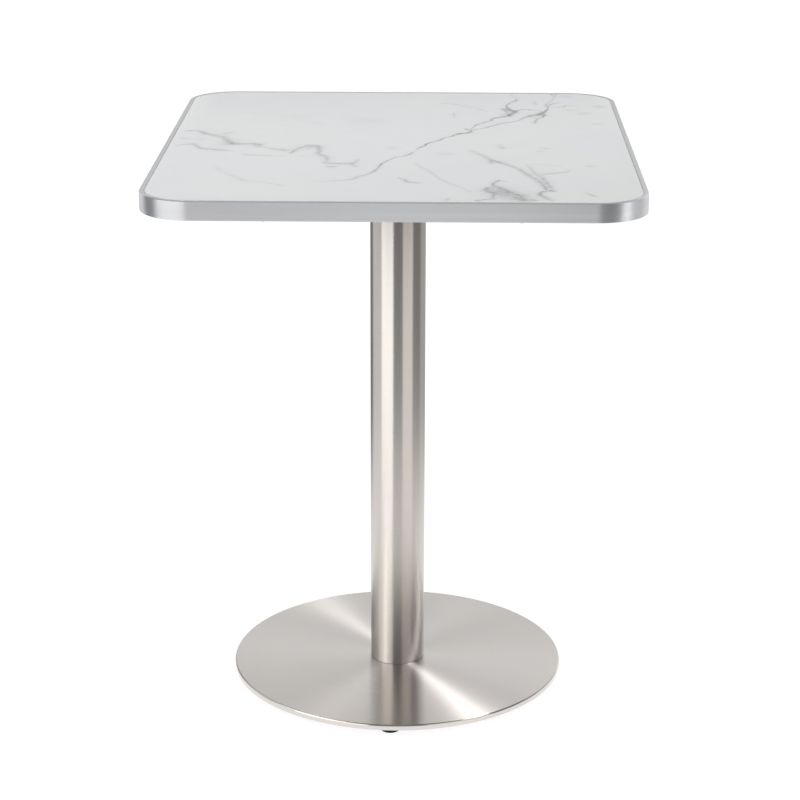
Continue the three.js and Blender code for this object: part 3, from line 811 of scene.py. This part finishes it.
# A pan head's parts, against its radius: the top of its dome, and the arms of its cross at their mouth
# and floor. Then against its height: its straight side, and how deep the cross goes.
PAN_TOP = 0.62
CROSS_MOUTH = 0.58
CROSS_FLOOR = 0.40
PAN_SIDE = 0.18
CROSS_DEPTH = 0.5
CROSS_MIDDLE_DEPTH = 0.55
DOME_STEPS = 6
# The width of a cross's arm against its length.
ARM_WIDTH = 0.3
# Each screw stopped where it was tight, so each cross is turned a little further than the last.
SCREW_TURN = math.radians(37)

# A thread's depth against its pitch.
THREAD_DEPTH = 0.54
NUT_CHAMFER = 0.9 * MM
NUT_CHAMFER_STEPS = 4
# A chamfered nut's flat face against its width across flats.
NUT_FACE = 0.97
ROD_THREADED = 26 * MM
ROD_CHAMFER = 1 * MM


def spider_casting(material):
    """The casting, remeshed and smoothed so that its corners and roots are rounded as cast ones are."""
    shape = bmesh.new()
    shape.from_mesh(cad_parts["top_spider"].data)
    bmesh.ops.remove_doubles(shape, verts=shape.verts, dist=0.01 * MM)
    piece = new_piece("spider_casting", plain_mesh("spider_casting", shape), material)
    remesh = piece.modifiers.new("skin", "REMESH")
    remesh.mode = "VOXEL"
    remesh.voxel_size = SPIDER_VOXEL
    smooth = piece.modifiers.new("smooth", "SMOOTH")
    smooth.factor = 0.5
    smooth.iterations = SPIDER_SMOOTHINGS
    thin = piece.modifiers.new("thin", "DECIMATE")
    thin.ratio = SPIDER_KEPT
    keep_result(piece)
    piece.data.polygons.foreach_set("use_smooth", [True] * len(piece.data.polygons))
    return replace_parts(piece, "top_spider")


def cross(size):
    """The outline of a cross-shaped recess, as a radius for each angle."""

    def radius(angle, z):
        # Near an axis the outline would run out to infinity, so the slope is kept off zero.
        level = max(abs(math.cos(angle)), 0.01)
        upright = max(abs(math.sin(angle)), 0.01)
        reach_x = min(size / level, ARM_WIDTH * size / upright)
        reach_y = min(size / upright, ARM_WIDTH * size / level)
        return min(max(reach_x, reach_y), size)

    return radius


def hexagon(across_flats, largest):
    """A hexagon's outline as a radius for each angle, cut back to a largest radius."""

    def radius(angle, z):
        from_flat = (angle % math.radians(60)) - math.radians(30)
        return min(across_flats / 2 / math.cos(from_flat), largest)

    return radius


def thread(radius, pitch, largest):
    """A screw thread's radius for each angle and height, cut back to a largest radius."""

    def at(angle, z):
        turn = (angle / (2 * math.pi) - z / pitch) % 1
        ridge = abs(2 * turn - 1)
        return min(radius - THREAD_DEPTH * pitch * (1 - ridge), largest)

    return at


def threaded_end(radius, pitch, tip, inward, count, chamfer):
    """The outline of a thread's chamfered end, from its tip inward: upward for 1 and downward for -1."""
    outline = []
    for index in range(count + 1):
        from_tip = index * pitch / PITCH_STEPS
        largest = radius - max(0, chamfer - from_tip)
        outline.append((thread(radius, pitch, largest), tip + inward * from_tip))
    return outline


def pan_head_mesh(name, head_radius, head_height, shank_radius, length):
    """A pan-head screw that points up, with its head's bearing face at the origin."""
    outline = [
        (0, -head_height * (1 - CROSS_MIDDLE_DEPTH)),
        (cross(head_radius * CROSS_FLOOR), -head_height * (1 - CROSS_DEPTH)),
        (cross(head_radius * CROSS_MOUTH), -head_height),
    ]
    for step in range(DOME_STEPS + 1):
        angle = math.radians(90 * step / DOME_STEPS)
        radius = head_radius * (PAN_TOP + (1 - PAN_TOP) * math.sin(angle))
        outline.append((radius, -head_height * (PAN_SIDE + (1 - PAN_SIDE) * math.cos(angle))))
    outline += [(head_radius, 0), (shank_radius, 0)]
    outline += [(shank_radius, length - 2 * shank_radius), (0, length)]
    return turned_mesh(name, outline, SMALL_STEPS)


def screws(kind, head_height, shank_radius, material):
    """All the screws of one kind, sharing one mesh, each standing for its CAD node."""
    low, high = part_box(f"{kind}_1")
    head_radius = (high.x - low.x) / 2
    length = high.z - low.z - head_height
    mesh = pan_head_mesh(f"{kind}_mesh", head_radius, head_height, shank_radius, length)
    pieces = []
    for number, (x, y) in enumerate(places_of(kind, SCREW_COUNT), 1):
        place = (x, y, low.z + head_height)
        piece = new_piece(f"{kind}_shown_{number}", mesh, material, place)
        piece.rotation_euler.z = SCREW_TURN * number
        pieces.append(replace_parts(piece, f"{kind}_{number}"))
    return pieces


def nut(node, material):
    """A hexagon nut with both faces chamfered and its thread's mouth countersunk."""
    low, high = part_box(node)
    across_flats = high.y - low.y
    corner_radius = across_flats / math.sqrt(3)
    face_radius = NUT_FACE * across_flats / 2
    bore = M10_RADIUS + 0.1 * MM
    half = [(bore, low.z + NUT_CHAMFER), (bore + NUT_CHAMFER, low.z)]
    for step in range(NUT_CHAMFER_STEPS + 1):
        part = step / NUT_CHAMFER_STEPS
        largest = face_radius + (corner_radius - face_radius) * part
        half.append((hexagon(across_flats, largest), low.z + NUT_CHAMFER * part))
    mesh = turned_mesh(node, mirrored(half, low, high), HARDWARE_STEPS, closed=True)
    return stand_in(f"{node}_shown", mesh, material, node)


def washer(node, material):
    low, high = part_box(node)
    section = ring_section(M10_RADIUS + 0.3 * MM, high.x, low.z, high.z, edge=0.4 * MM, steps=3)
    mesh = turned_mesh(node, section, HARDWARE_STEPS, closed=True)
    return stand_in(f"{node}_shown", mesh, material, node)


def tie_rod(material):
    """The rod: a plain shank, threaded at both ends, with its tips chamfered."""
    low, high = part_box("tie_rod")
    shank = M10_RADIUS - 0.35 * MM
    count = round(ROD_THREADED * PITCH_STEPS / M10_PITCH)
    shank_start = ROD_THREADED + MM
    lower_end = threaded_end(M10_RADIUS, M10_PITCH, low.z, 1, count, ROD_CHAMFER)
    upper_end = threaded_end(M10_RADIUS, M10_PITCH, high.z, -1, count, ROD_CHAMFER)
    outline = [(0, low.z)] + lower_end
    outline += [(shank, low.z + shank_start), (shank, high.z - shank_start)]
    outline += reversed(upper_end)
    outline.append((0, high.z))
    mesh = turned_mesh("tie_rod_mesh", outline, SMALL_STEPS)
    return stand_in("tie_rod_shown", mesh, material, "tie_rod")


# ---- Column and base ----

FOOT_COUNT = 4
PAD_SOLE_INSET = 3 * MM
PAD_SOCKET_RADIUS = 4.15 * MM
PAD_SOCKET_DEPTH = 3.4 * MM
# The grip groove round a pad, as heights against the pad's own: lower edge, floor and upper edge.
GROOVE_LEVELS = (0.62, 0.66, 0.72, 0.76)
GROOVE_DEPTH = 0.4 * MM
COLLAR_ACROSS_FLATS = 13 * MM
COLLAR_LOW = 6.3 * MM
COLLAR_HIGH = 7.5 * MM
STUD_CHAMFER = 0.8 * MM


def column(material):
    """The tube, with its cut ends broken by a fine chamfer."""
    outer = COLUMN_HIGH.x
    section = ring_section(outer - COLUMN_WALL, outer, COLUMN_LOW.z, COLUMN_HIGH.z, edge=0.3 * MM, steps=2)
    mesh = turned_mesh("column", section, TUBE_STEPS, closed=True)
    return stand_in("column", mesh, material, "column_tube")


def base_disc(material):
    """The pressed cover: flat on top, with a rolled edge and a short rim turned down."""
    outer = COVER_HIGH.x
    inner = outer - SHEET_METAL
    top = COVER_HIGH.z
    corners = [
        (ROD_HOLE_RADIUS, top - SHEET_METAL, 0),
        (inner, top - SHEET_METAL, COVER_EDGE_RADIUS - SHEET_METAL),
        (inner, COVER_LOW.z, 0.3 * MM),
        (outer, COVER_LOW.z, 0.3 * MM),
        (outer, top, COVER_EDGE_RADIUS),
        (ROD_HOLE_RADIUS, top, 0),
    ]
    mesh = turned_mesh("base_disc", rounded(corners, steps=8), DISC_STEPS, closed=True)
    return stand_in("base_disc", mesh, material, "base_cover")


def ballast(material):
    """The plate: its edges chamfered, recessed for the nut, drilled for the studs."""
    low, high = BALLAST_LOW, BALLAST_HIGH
    recess_top = low.z + RECESS_DEPTH
    corners = [
        (RECESS_RADIUS, low.z, 0.4 * MM),
        (high.x, low.z, 0.5 * MM),
        (high.x, high.z, 1.2 * MM),
        (ROD_HOLE_RADIUS, high.z, 0),
        (ROD_HOLE_RADIUS, recess_top, 0.3 * MM),
        (RECESS_RADIUS, recess_top, 0.5 * MM),
    ]
    mesh = turned_mesh("ballast", rounded(corners, steps=3), DISC_STEPS, closed=True)
    piece = new_piece("ballast", mesh, material)
    places = places_of("foot_pad", FOOT_COUNT)
    cut_holes(piece, places, STUD_HOLE_RADIUS, low.z - CUT_MARGIN, high.z + CUT_MARGIN)
    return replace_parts(piece, "ballast_plate")


def pad_mesh():
    """A moulded foot: flat sole, rounded side, a shallow grip groove and a socket for the stud."""
    radius = (PAD_HIGH.x - PAD_LOW.x) / 2
    height = PAD_HIGH.z - PAD_LOW.z
    grooved = radius - GROOVE_DEPTH
    groove_start, floor_start, floor_end, groove_end = [height * level for level in GROOVE_LEVELS]
    socket_floor = height - PAD_SOCKET_DEPTH
    corners = [
        (radius - PAD_SOLE_INSET, 0, 0.3 * MM),
        (radius, 1.2 * MM, 0.8 * MM),
        (radius, groove_start, 0.2 * MM),
        (grooved, floor_start, 0.1 * MM),
        (grooved, floor_end, 0.1 * MM),
        (radius, groove_end, 0.2 * MM),
        (radius, height, 0.8 * MM),
        (PAD_SOCKET_RADIUS, height, 0.3 * MM),
        (PAD_SOCKET_RADIUS, socket_floor, 0.2 * MM),
    ]
    outline = [(0, 0)] + rounded(corners, steps=4) + [(0, socket_floor)]
    return turned_mesh("pad_mesh", outline, HARDWARE_STEPS)


def stud_mesh():
    """A threaded stud with a chamfered hexagon collar, standing at its real height."""
    low, high = STUD_LOW, STUD_HIGH
    corner_radius = COLLAR_ACROSS_FLATS / math.sqrt(3)
    rounded_off = (corner_radius + COLLAR_ACROSS_FLATS / 2) / 2
    edge = 0.3 * MM
    outline = [(0, low.z), (M8_RADIUS - edge, low.z), (M8_RADIUS, low.z + edge), (M8_RADIUS, COLLAR_LOW)]
    outline += [
        (hexagon(COLLAR_ACROSS_FLATS, rounded_off), COLLAR_LOW),
        (hexagon(COLLAR_ACROSS_FLATS, corner_radius), COLLAR_LOW + edge),
        (hexagon(COLLAR_ACROSS_FLATS, corner_radius), COLLAR_HIGH - edge),
        (hexagon(COLLAR_ACROSS_FLATS, rounded_off), COLLAR_HIGH),
    ]
    count = int((high.z - COLLAR_HIGH) * PITCH_STEPS / M8_PITCH)
    outline += reversed(threaded_end(M8_RADIUS, M8_PITCH, high.z, -1, count, STUD_CHAMFER))
    outline.append((0, high.z))
    return turned_mesh("stud_mesh", outline, SMALL_STEPS)


def levelling_feet(plastic, plating):
    parts = [("pad", pad_mesh(), plastic, "black_plastic"), ("stud", stud_mesh(), plating, "zinc_steel")]
    for number, (x, y) in enumerate(places_of("foot_pad", FOOT_COUNT), 1):
        for part, mesh, material, slot in parts:
            piece = new_piece(f"{part}_shown_{number}", mesh, material, (x, y, 0))
            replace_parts(piece, f"foot_{part}_{number}")
            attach(piece, f"{part}_{number}")


# ---- The table ----


def finish_piece(piece):
    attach(piece, TABLE)


def build_table():
    plating = zinc()
    steel = mill_steel()
    finish_piece(marble_slab(marble()))
    finish_piece(trim_strip(trim_aluminium()))
    finish_piece(spider_casting(black_casting()))
    finish_piece(column(column_steel()))
    finish_piece(base_disc(disc_steel()))
    finish_piece(ballast(steel))
    zinc_pieces = screws("trim_screw", *TRIM_SCREW, plating)
    zinc_pieces += screws("spider_screw", *SPIDER_SCREW, plating)
    zinc_pieces += [nut("top_nut", plating), nut("base_nut", plating), tie_rod(plating)]
    zinc_pieces += [washer("top_washer", plating), washer("base_washer", plating)]
    for piece in zinc_pieces:
        finish_piece(piece)
    levelling_feet(black_plastic(), plating)
    # These CAD nodes stay in view, and only get a better material.
    kept = {"backing_sheet": backing_laminate(), "core_board": fibreboard()}
    kept.update({"column_top_plug": steel, "column_foot_plug": steel})
    for node, material in kept.items():
        dress(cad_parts[node].data, material)


# ---- Studio ----

# What every surface mirrors, laid over each other in this order. Each card is its azimuth from the camera's
# side, half width and softness, its elevation, half height and softness, all in degrees, its brightness
# and its warmth. Azimuth grows towards +X.
CARDS = [
    (180, 30, 24, 28, 26, 14, 0.62, 0.0),
    (0, 180, 0, 90, 28, 24, 0.55, 0.0),
]
ROOM = 0.24

# Tall upright cards that light one or two pieces only. Each is its azimuth and half width in degrees, its
# brightness and its warmth.
COLUMN_CARDS = [(-98, 27, 0.53, 0.0), (-44, 26, 1.40, 0.01), (43, 22, 0.67, 0.05), (134, 26, 0.25, 0.0)]
TRIM_CARDS = [
    (-165, 17, 0.10, 0.0),
    (-131, 16, 0.62, 0.0),
    (-48, 31, 0.92, 0.0),
    (1.4, 10.9, 0.56, 0.0),
    (68, 10, 1.15, 0.0),
    (103, 22, 0.38, 0.0),
    (143, 21, 0.60, 0.0),
]
DISC_CARDS = [(170, 32, 0.25, 0.0), (-44, 25, 1.00, 0.0)]
SLAB_CARDS = [(-80, 26, 3.0, 0.0)]
CARD_DISTANCE = 3.0
CARD_LOW = -4.5
CARD_HIGH = 2.8

# The cards again, close by and below the floor, as the base disc mirrors them onto the column's foot.
MIRRORED_CARDS = [(-42, 18, 0.46, 0.02)]
MIRRORED_DISTANCE = 0.5
MIRRORED_LOW = -0.33

# Square lights that face the table. Each is its name, azimuth and elevation in degrees, distance, size,
# brightness and the pieces that it lights. Only the first shines through what is in its way.
SOFTBOXES = [
    ("disc_key", 128, 60, 3.0, 0.4, 63, ["base_disc"]),
    ("disc_fill", 178, 48, 3.0, 1.4, 0.6, ["base_disc"]),
    ("rim_light", -74, 44, 3.0, 2.2, 1.5, ["base_disc"]),
    ("top_fill", 180, 65, 4.5, 2.0, 5.4, ["marble_slab"]),
    ("key", 115, 62, 3.0, 0.7, 9, ["marble_slab", "spider_casting"]),
]

FLOOR_HALF = 20.0
FLOOR_EMISSION = 0.9
GLOW_RADIUS = 1.2
GLOW_FADE = 0.5
GLOW_STRENGTH = 1.12
GLOW_STEPS = 64


def soft_edge(nodes, distance, half, soft):
    """1 inside a half width in degrees, falling to 0 over a soft edge."""
    inner = math.radians(half - soft / 2)
    # A hard edge still needs a little room between its two ends.
    outer = math.radians(half + soft / 2 + 0.01)
    return nodes.remap(distance, inner, outer, 1, 0, smooth=True)


def studio_world():
    """A procedural studio: soft light and dark cards all round, and plain white behind the table."""
    world = bpy.data.worlds.new("studio")
    bpy.context.scene.world = world
    world.use_nodes = True
    nodes = Nodes(world.node_tree)
    background = world.node_tree.nodes["Background"]
    parts = nodes.add("SeparateXYZ", {"Vector": nodes.add("TexCoord").outputs["Generated"]})
    toward_camera = nodes.times(parts.outputs["Y"], -1.0)
    azimuth = nodes.maths("ARCTAN2", parts.outputs["X"], toward_camera)
    elevation = nodes.maths("ARCSINE", parts.outputs["Z"])
    light = grey(ROOM)
    for side, half_width, side_soft, height, half_height, height_soft, level, warmth in CARDS:
        turned = nodes.maths("SUBTRACT", azimuth, math.radians(side))
        turned = nodes.maths("ABSOLUTE", nodes.maths("WRAP", turned, math.pi, -math.pi))
        raised = nodes.maths("ABSOLUTE", nodes.maths("SUBTRACT", elevation, math.radians(height)))
        in_width = soft_edge(nodes, turned, half_width, side_soft)
        in_height = soft_edge(nodes, raised, half_height, height_soft)
        light = nodes.mix(nodes.times(in_width, in_height), light, grey(level, warmth))
    seen = nodes.add("LightPath").outputs["Is Camera Ray"]
    nodes.set(background.inputs["Color"], nodes.mix(seen, light, grey(1.0)))


def only_lights(light, names):
    """Makes a light fall on the pieces of these names only."""
    receivers = bpy.data.collections.new(f"lit_by_{light.name}")
    for name in names:
        receivers.objects.link(bpy.data.objects[name])
    light.light_linking.receiver_collection = receivers


def shine_through(light):
    """Lets a light pass through other pieces, found by aiming at it alone and never by chance."""
    light.data.use_shadow = False
    light.data.cycles.use_multiple_importance_sampling = False


def area_light(name, place, direction, width, height, level):
    """A rectangle of even brightness at a place, shining against a direction."""
    data = bpy.data.lights.new(name, "AREA")
    data.shape = "RECTANGLE"
    data.size = width
    data.size_y = height
    data.energy = level * math.pi * width * height
    light = bpy.data.objects.new(name, data)
    bpy.context.scene.collection.objects.link(light)
    light.location = place
    light.rotation_euler = direction.to_track_quat("Z", "Y").to_euler()
    return light


def toward(azimuth, elevation):
    """The direction of an azimuth and elevation in degrees."""
    side = math.radians(azimuth)
    height = math.radians(elevation)
    flat = math.cos(height)
    return Vector((math.sin(side) * flat, -math.cos(side) * flat, math.sin(height)))


def upright_cards(name, cards, names, distance=CARD_DISTANCE, low=CARD_LOW, high=CARD_HIGH):
    """Cards at one distance, each facing the column, that light the pieces of these names."""
    lights = []
    for number, (azimuth, half_width, level, warmth) in enumerate(cards):
        direction = toward(azimuth, 0)
        place = direction * distance + Vector((0, 0, (low + high) / 2))
        width = 2 * distance * math.tan(math.radians(half_width))
        light = area_light(f"{name}_{number}", place, direction, width, high - low, level)
        light.data.color = grey(1.0, warmth)[:3]
        only_lights(light, names)
        lights.append(light)
    return lights


def light_pieces():
    """The lights that one piece or another has to itself."""
    upright_cards("column_card", COLUMN_CARDS, ["column", "base_disc"])
    upright_cards("trim_card", TRIM_CARDS, ["trim_strip"])
    upright_cards("disc_card", DISC_CARDS, ["base_disc"])
    upright_cards("slab_card", SLAB_CARDS, ["marble_slab"])
    for card in upright_cards("mirrored", MIRRORED_CARDS, ["column"], MIRRORED_DISTANCE, MIRRORED_LOW, 0):
        shine_through(card)
    aim = Vector((0, 0, TRIM_HIGH.z / 2))
    for name, azimuth, elevation, distance, size, level, names in SOFTBOXES:
        direction = toward(azimuth, elevation)
        light = area_light(name, aim + direction * distance, direction, size, size, level)
        only_lights(light, names)
    shine_through(bpy.data.objects["disc_key"])


def hide_from(piece, *rays):
    for ray in rays:
        setattr(piece, f"visible_{ray}", False)


def flat_mesh(name, corners):
    """One flat face on the floor."""
    shape = bmesh.new()
    shape.faces.new([shape.verts.new((x, y, 0)) for x, y in corners])
    return plain_mesh(name, shape)


def floor_glow():
    """What the metals mirror of the floor: pale close to the table, fading into the studio further out."""
    corners = []
    for step in range(GLOW_STEPS):
        angle = 2 * math.pi * step / GLOW_STEPS
        corners.append((GLOW_RADIUS * math.cos(angle), GLOW_RADIUS * math.sin(angle)))
    look = Look("floor_glow")
    clear = look.remap(look.distance(look.place), GLOW_FADE, GLOW_RADIUS, 0, 1, smooth=True)
    glow = look.add("Emission", {"Color": grey(1.0, 0.01), "Strength": GLOW_STRENGTH})
    look.blend(clear, glow.outputs["Emission"], look.add("BsdfTransparent").outputs["BSDF"])
    piece = new_piece("floor_glow", flat_mesh("floor_glow", corners), look.material, (0, 0, -MM))
    hide_from(piece, "camera", "diffuse", "shadow", "transmission")


def floor():
    """A plain pale floor. It glows a little, so that it stays near white, and is clear from below."""
    corners = [(-FLOOR_HALF, -FLOOR_HALF), (FLOOR_HALF, -FLOOR_HALF)]
    corners += [(FLOOR_HALF, FLOOR_HALF), (-FLOOR_HALF, FLOOR_HALF)]
    look = Look(
        "floor",
        Base_Color=grey(0.5),
        Roughness=1.0,
        Specular_IOR_Level=0.0,
        Emission_Color=grey(1.0),
        Emission_Strength=FLOOR_EMISSION,
    )
    from_below = look.add("NewGeometry").outputs["Backfacing"]
    clear = look.add("BsdfTransparent").outputs["BSDF"]
    look.blend(from_below, look.shader.outputs["BSDF"], clear)
    piece = new_piece("floor", flat_mesh("floor", corners), look.material)
    hide_from(piece, "glossy", "shadow")


def studio():
    studio_world()
    floor()
    floor_glow()
    bpy.context.scene.view_settings.view_transform = "Standard"


# ---- Camera ----

# From the fit to the photo: metres, radians, and millimetres for the lens and its sensor.
CAMERA_PLACE = (0.0539, -2.9105, 1.3379)
CAMERA_TURN = 0.01749
CAMERA_TILT_DOWN = 0.31559
CAMERA_ROLL = 0.00206
CAMERA_LENS = 102.6
CAMERA_SENSOR = 36
CAMERA_RANGE = 200


def camera():
    data = bpy.data.cameras.new("camera")
    data.lens = CAMERA_LENS
    data.sensor_width = CAMERA_SENSOR
    data.clip_end = CAMERA_RANGE
    piece = bpy.data.objects.new("camera", data)
    bpy.context.scene.collection.objects.link(piece)
    aim = Matrix.Rotation(CAMERA_TURN, 4, "Z") @ Matrix.Rotation(math.pi / 2 - CAMERA_TILT_DOWN, 4, "X")
    piece.matrix_world = Matrix.Translation(CAMERA_PLACE) @ aim @ Matrix.Rotation(CAMERA_ROLL, 4, "Z")
    bpy.context.scene.camera = piece


camera()
studio()
build_table()
light_pieces()
